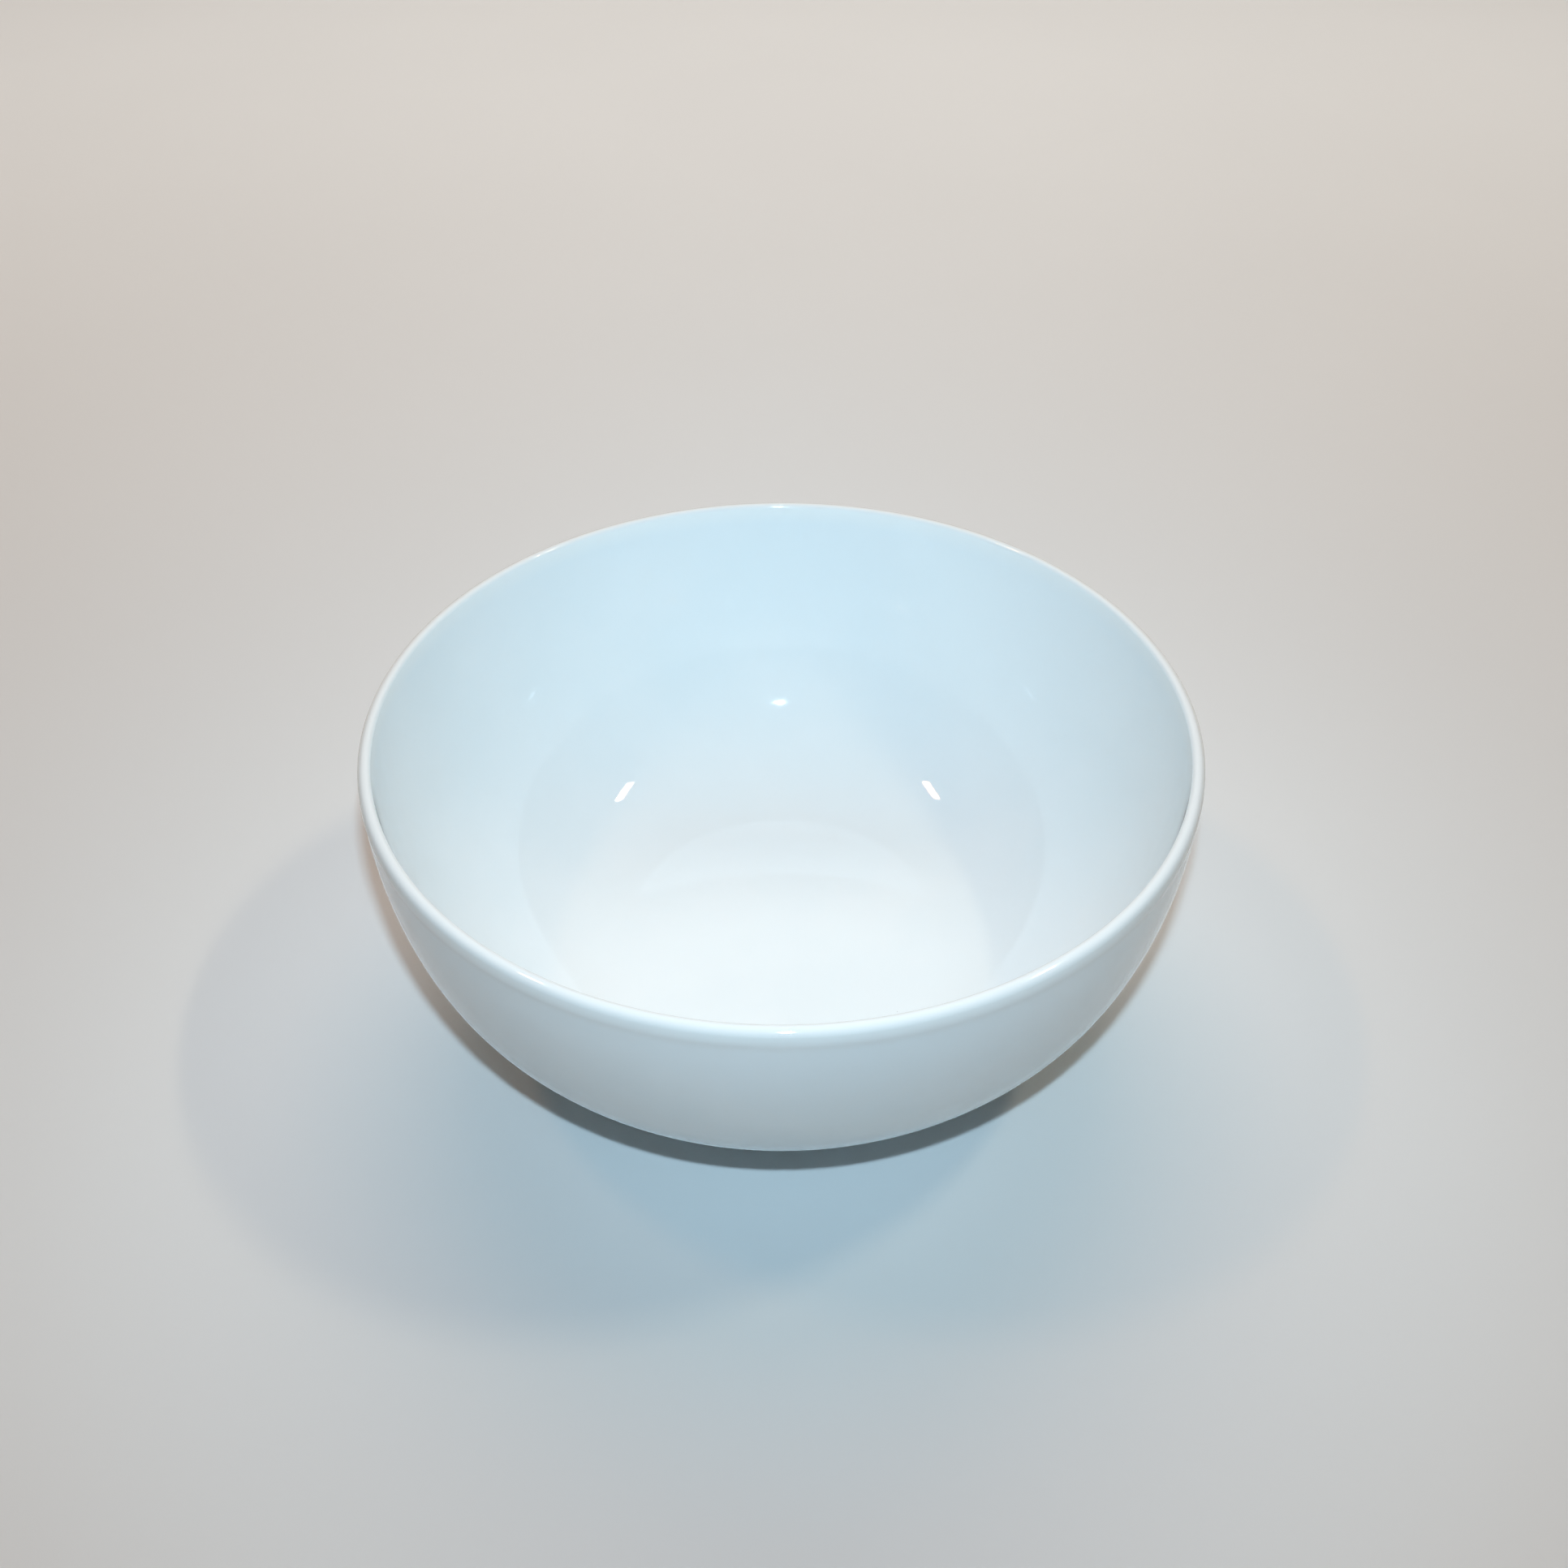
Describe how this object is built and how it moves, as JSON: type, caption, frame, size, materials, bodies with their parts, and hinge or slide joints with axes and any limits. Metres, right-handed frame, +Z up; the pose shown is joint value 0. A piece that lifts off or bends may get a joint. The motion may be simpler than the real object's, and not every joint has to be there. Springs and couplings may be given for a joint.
{
  "type": "serving bowl",
  "caption": "Round glazed porcelain serving bowl with a rounded lip, a dished floor and a low foot ring, for serving or mixing food on a table.",
  "frame": {"origin": "centre of the foot ring, on the surface that the bowl stands on", "axes": "+Z up along the bowl's axis, out of its mouth; X and Y are any two level directions, because the bowl is round"},
  "size_m": [0.22, 0.22, 0.096],
  "materials": {
    "porcelain": "fired white porcelain under the glaze",
    "bare_foot": "bare, matt, slightly rough, wiped clean of glaze",
    "inner_glaze": "smooth high gloss, cool white",
    "lip_glaze": "smooth high gloss, slightly warmer where it runs thin",
    "outer_glaze": "smooth high gloss, cool white",
    "base_glaze": "gloss, with small pinholes"
  },
  "bodies": {
    "root": {"porcelain_body": "porcelain", "foot_ring": "bare_foot", "inner_glaze": "inner_glaze", "lip_glaze": "lip_glaze", "outer_glaze": "outer_glaze", "base_glaze": "base_glaze"}
  },
  "joints": []
}
